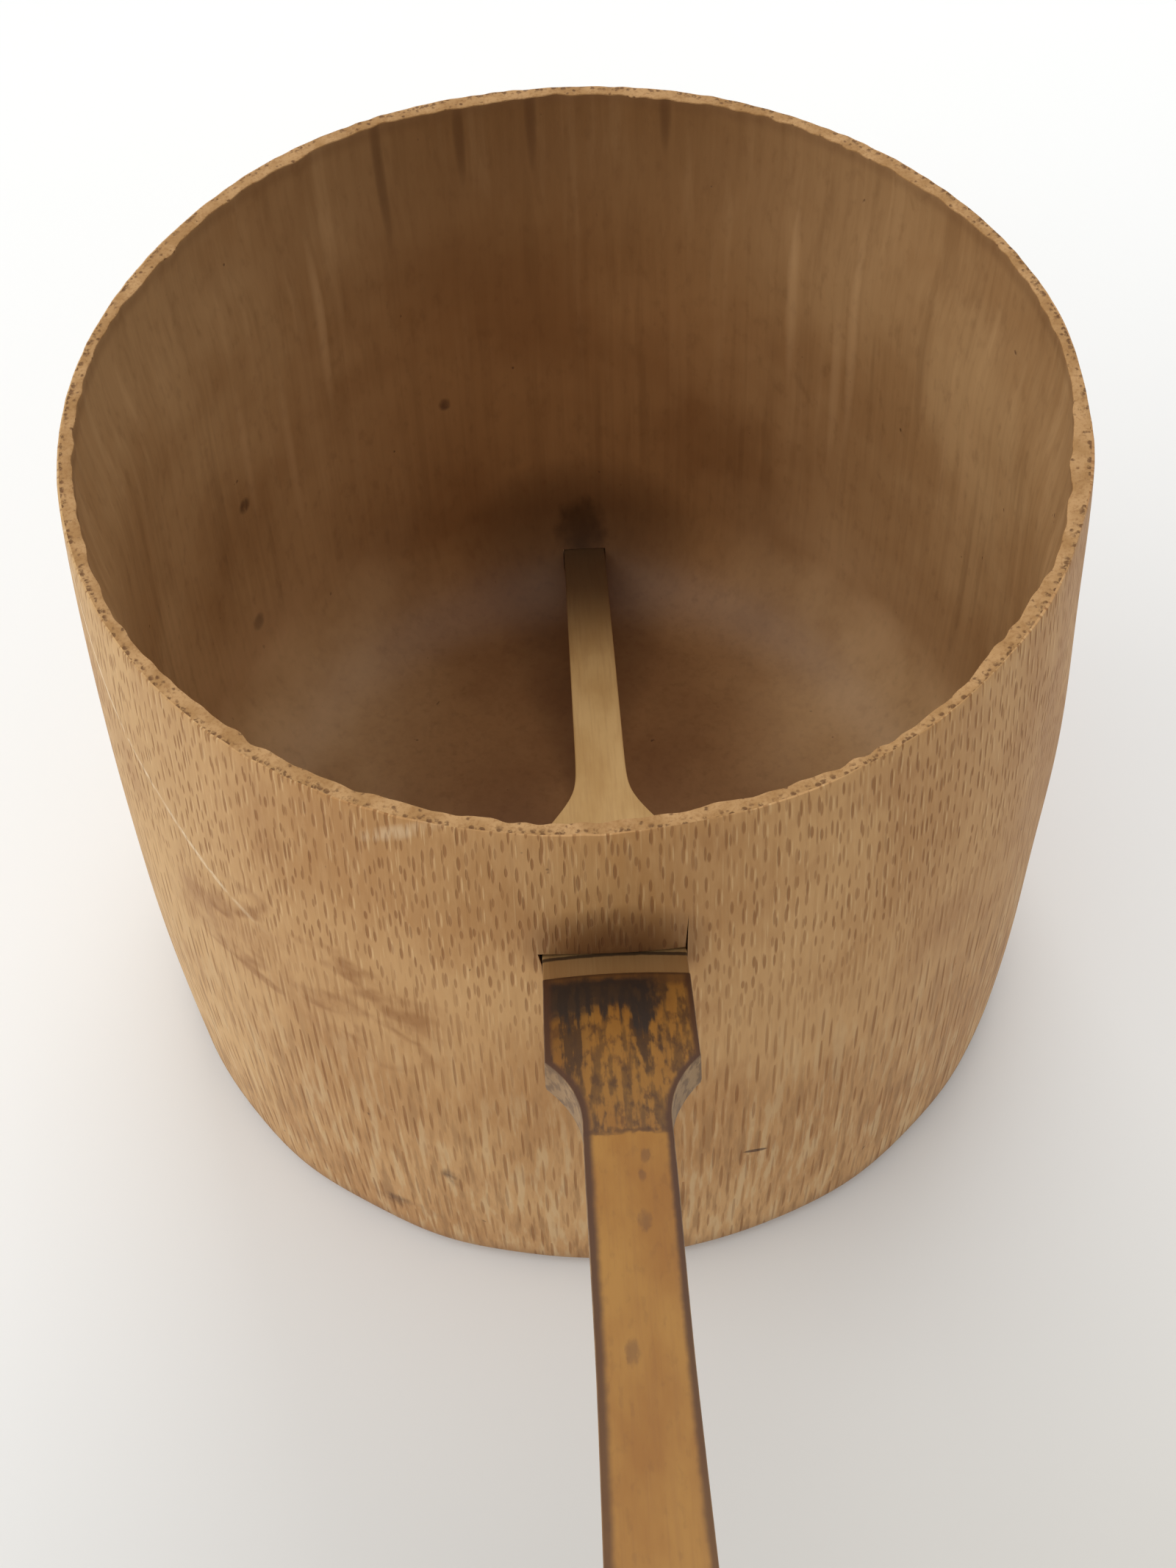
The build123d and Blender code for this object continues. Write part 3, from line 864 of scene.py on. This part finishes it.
# %% Finish of the handle
def handle_bamboo():
    finish = Finish("handle_bamboo")
    side = finish.dot(across) - float(entry @ across)
    reach = finish.dot(outward) - float(entry @ outward)
    lift = finish.dot(upward) - float(entry @ upward)
    from_edge = finish.node("Attribute", {"attribute_name": "from_edge"}, output="Fac")

    def strip_noise(width, length, detail, shift):
        place = finish.vector(side / width + shift, reach / length, lift / width)
        return finish.noise(place, detail)

    fibre = strip_noise(0.22, 7.0, 3, 4.0)
    clouds = strip_noise(2.6, 9.0, 4, 9.0)
    mottle = strip_noise(0.42, 1.3, 5, 15.0)
    runs = strip_noise(0.50, 6.0, 4, 22.0)
    ragged = strip_noise(0.8, 1.2, 3, 31.0)

    skin = finish.mix(clouds.ease(0.3, 0.7), paint(148, 97, 34), paint(165, 117, 50))
    skin = finish.mix(fibre.ease(0.45, 0.7) * 0.18, skin, paint(132, 84, 38))
    # the head: browner, mottled and streaked, as far as a ragged line across the neck
    on_head = (reach + ragged * 1.4).ease(19.2, 18.6)
    skin = finish.mix(on_head * (0.22 + clouds * 0.3), skin, paint(112, 72, 36))
    specks = mottle.ease(0.54, 0.68) * 0.12 + mottle.ease(0.50, 0.66) * on_head * 0.50
    skin = finish.mix(specks, skin, paint(80, 48, 26))
    left_side = side.ease(-1.2, -2.4) * reach.ease(15, 9) * 0.5
    middle_run = (1 - ((side - 1.3) / 0.9) ** 2).at_least(0) * reach.ease(15, 8) * 0.6
    run_mask = (runs + (mottle - 0.5) * 0.45).ease(0.42, 0.58)
    streaky = run_mask * (0.60 + left_side + middle_run) + left_side * 0.6
    skin = finish.mix((streaky * on_head).at_most(0.9), skin, paint(62, 42, 28))
    cross_line = (reach + ragged * 1.4 - 18.9).size().ease(0.35, 0.08) * ragged.ease(0.35, 0.5)
    skin = finish.mix(cross_line * 0.65, skin, paint(70, 42, 24))
    # the black band along the shaved strip, running down where the streaks are dark
    band_end = 5.2 + ragged * 1.8 + runs.ease(0.45, 0.68) * 2.0 + middle_run * 2.8 + left_side * 1.5
    black = (reach - band_end).ease(0.8, -0.8) * (reach + ragged * 1.2).ease(3.4, 4.3)
    band = black * (side + ragged * 1.5).ease(3.8, 2.0)
    skin = finish.mix((reach + ragged * 0.6).ease(4.6, 3.8) * 0.75, skin, paint(96, 62, 34))
    skin = finish.mix(band * 0.9, skin, paint(40, 33, 30))
    skin = finish.mix((reach - 2.75).size().ease(0.35, 0.1) * 0.6, skin, paint(66, 42, 25))
    # the dark line along both edges, and a few spots further out
    line_width = 0.34 + ragged * 0.30 + side.ease(0.5, -0.5) * 0.12
    edge = (from_edge / line_width).ease(1.0, 0.35) * (0.70 + reach.ease(60, 20) * 0.25)
    skin = finish.mix(edge, skin, paint(72, 42, 24))
    spots = ((25.6, 0.44, 0.7), (35.1, -0.49, 0.75), (20.4, 0.7, 0.5), (22.1, 0.5, 0.4))
    for mark_reach, mark_side, size in spots:
        oval = 1 - ((reach - mark_reach) / (size * 1.5)) ** 2 - ((side - mark_side) / (size * 0.55)) ** 2
        oval = (oval + (mottle - 0.5) * 2.2).ease(0.0, 0.9)
        skin = finish.mix(oval * 0.5, skin, paint(98, 62, 34))
    # the scar in the groove beyond the node
    from_groove = (reach - (NODE_DISTANCE + GROOVE_OFFSET)).size()
    scar = from_groove.ease(0.7, 0.1) * 0.7
    skin = finish.mix(scar, skin, paint(92, 58, 34))

    # bare bamboo: the shaved inner part, darker towards the tip, with painted shade in the slot and a painted
    # shadow line at the wall's face, and the cut sides
    bare = finish.mix(clouds.ease(0.3, 0.7), paint(188, 148, 92), paint(204, 166, 110))
    bare = finish.mix(fibre.ease(0.42, 0.7) * 0.25, bare, paint(162, 120, 72))
    darker_to_tip = reach.ease(-41, -59)
    bare = finish.mix(darker_to_tip * 0.85, bare, paint(82, 52, 28))
    # painted shade: the strip is darker where it runs out under the overhang of the cup's wall
    bare = finish.mix(reach.ease(-2.0, 0.5) * 0.65, bare, paint(122, 82, 44))
    # painted shadow: a dark line across the strip where it leaves the wall's face, for the gap between handle
    # and slot
    bare = finish.mix((reach + ragged * 0.2).size().ease(0.28, 0.10) * 0.85, bare, paint(36, 22, 14))
    sides = finish.mix(clouds.ease(0.3, 0.7), paint(134, 103, 68), paint(158, 126, 88))
    sides = finish.mix(mottle.ease(0.42, 0.60) * 0.6, sides, paint(88, 62, 42))
    shadowed = reach.ease(60, 22)
    sides = finish.mix((1 - shadowed) * 0.5, sides, paint(150, 106, 62))

    is_skin = reach.ease(SHAVE_REACH + 0.1, SHAVE_REACH + 0.25)
    is_top = from_edge.ease(0.0, 0.06)
    colour = finish.mix(is_skin, bare, skin)
    shown_top = is_top.at_least(1 - is_skin)
    colour = finish.mix(shown_top, sides, colour)
    polished = is_skin * is_top * (1 - edge * 0.8)
    rough = 0.60 - polished * (0.26 - mottle * 0.14) + band * 0.1
    relief = 0.5 + fibre * (0.5 - polished * 0.42) + mottle * 0.12 - edge * 0.25
    return finish.done(colour, rough, relief, relief=0.05, gloss=0.38)


# %% [markdown]
# ## Putting the finishes on
# The cup's mesh carries one finish for each of its surfaces, by the kind that each row of the profile was
# given. They go on before the slot is cut, so that the chisel's own faces come out in the finish of cut
# bamboo.

# %% The cup finished and cut
SHARP_ANGLE = math.radians(40)  # faces that meet more sharply than this keep a crisp edge

for finished in (node_underside(), scraped_bamboo(), cut_bamboo(), aged_inside()):
    cup_mesh.materials.append(finished)
SLOT_OF_KIND = {UNDERSIDE: 0, OUTSIDE: 1, MOUTH: 2, CUT: 2, INSIDE: 3}
slot_of_row = np.array([SLOT_OF_KIND[int(kind)] for kind in profile_kind])
of_face = np.concatenate([np.repeat(slot_of_row[:-1], CUP_COLUMNS), np.full(CUP_COLUMNS, slot_of_row[0]),
                          np.full(CUP_COLUMNS, slot_of_row[-1])])
cup_mesh.polygons.foreach_set("material_index", of_face.astype(np.int32))

far_reach = (slot_radius + cup_high[1]) / math.cos(slope)
mortise_end = -far_reach + CULM_WALL + FLOOR_CURVE + OVERCUT
cutters = [prism("slot_cutter", slot_outline, -SLOT_CUT, OVERCUT),
           prism("crack_cutter", crack_outline, -CRACK_CUT, OVERCUT),
           prism("mortise_cutter", mortise_outline, -far_reach - OVERCUT, mortise_end)]
for cutter in cutters:
    for material in cup.data.materials:
        cutter.data.materials.append(material)
    cut_faces = np.full(len(cutter.data.polygons), SLOT_OF_KIND[CUT], np.int32)
    cutter.data.polygons.foreach_set("material_index", cut_faces)
    cut(cup, cutter)
cup.data.shade_smooth()
cup.data.set_sharp_from_angle(angle=SHARP_ANGLE)
report("cup after cutting", cup.data)

handle_mesh.materials.append(handle_bamboo())
handle_mesh.shade_smooth()
handle_mesh.set_sharp_from_angle(angle=SHARP_ANGLE)

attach(cup, "root")
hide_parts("cup")
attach(handle, "root")
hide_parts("handle")

# %% [markdown]
# ## The table and the light
# The ladle stands on a plain pale table in soft daylight. Most of the light comes evenly from the world, as
# in a white room. A large light behind and above stands for a window, and a larger one fills in from the
# left, so the shadows are faint and the inside of the cup falls into a warm dark. The table's paint is a
# little darker in front, as painted shade for light that falls off away from the window.

# %% Table, lights and world
TABLE_SIZE = 3000
TABLE_GAP = 0.05       # so that the foot's ring and the table never share a plane
table_mesh = bpy.data.meshes.new("table")
reach_out = TABLE_SIZE * MM / 2
below = -TABLE_GAP * MM
table_mesh.from_pydata([(-reach_out, -reach_out, below), (reach_out, -reach_out, below),
                        (reach_out, reach_out, below), (-reach_out, reach_out, below)], [], [(0, 1, 2, 3)])
table = place("table", table_mesh)
table_finish = Finish("pale_table")
table_cloud = table_finish.grain(60, 60, detail=3)
# painted shade: the table's paint darkens towards the front, for light that falls off away from the window
painted_light_falloff = table_finish.dot((-0.35, 1, 0)).ease(-100, -8)
table_paint = table_finish.mix(painted_light_falloff, paint(206, 201, 192), paint(248, 248, 247))
table_paint = table_finish.mix(table_cloud * 0.15, table_paint, paint(222, 222, 218))
table_mesh.materials.append(table_finish.done(table_paint, 0.5, table_cloud, relief=0.02))


def area_light(name, place_mm, aim_mm, size_mm, watts, tint):
    """A square soft light at a place, turned so that it shines at another."""
    data = bpy.data.lights.new(name, "AREA")
    data.size = size_mm * MM
    data.energy = watts
    data.color = tint
    light = bpy.data.objects.new(name, data)
    back = np.array(place_mm, float) - np.array(aim_mm)
    back /= np.linalg.norm(back)
    sideways = np.cross((0, 1, 0.1), back)
    sideways /= np.linalg.norm(sideways)
    turn_to = np.eye(4)
    turn_to[:3, :3] = np.stack([sideways, np.cross(back, sideways), back], axis=1)
    turn_to[:3, 3] = np.array(place_mm) * MM
    light.matrix_world = Matrix(turn_to.tolist())
    bpy.context.scene.collection.objects.link(light)


area_light("window", (150, 900, 900), (0, 0, 20), size_mm=900, watts=5, tint=(1.0, 0.99, 0.98))
area_light("fill", (-900, -300, 700), (0, 0, 20), size_mm=1400, watts=6, tint=(1.0, 0.99, 0.97))

world = bpy.data.worlds.new("room")
world.use_nodes = True
world.node_tree.nodes["Background"].inputs["Color"].default_value = (0.98, 1.0, 1.01, 1.0)
world.node_tree.nodes["Background"].inputs["Strength"].default_value = 0.70
bpy.context.scene.world = world
bpy.context.scene.view_settings.view_transform = "Standard"
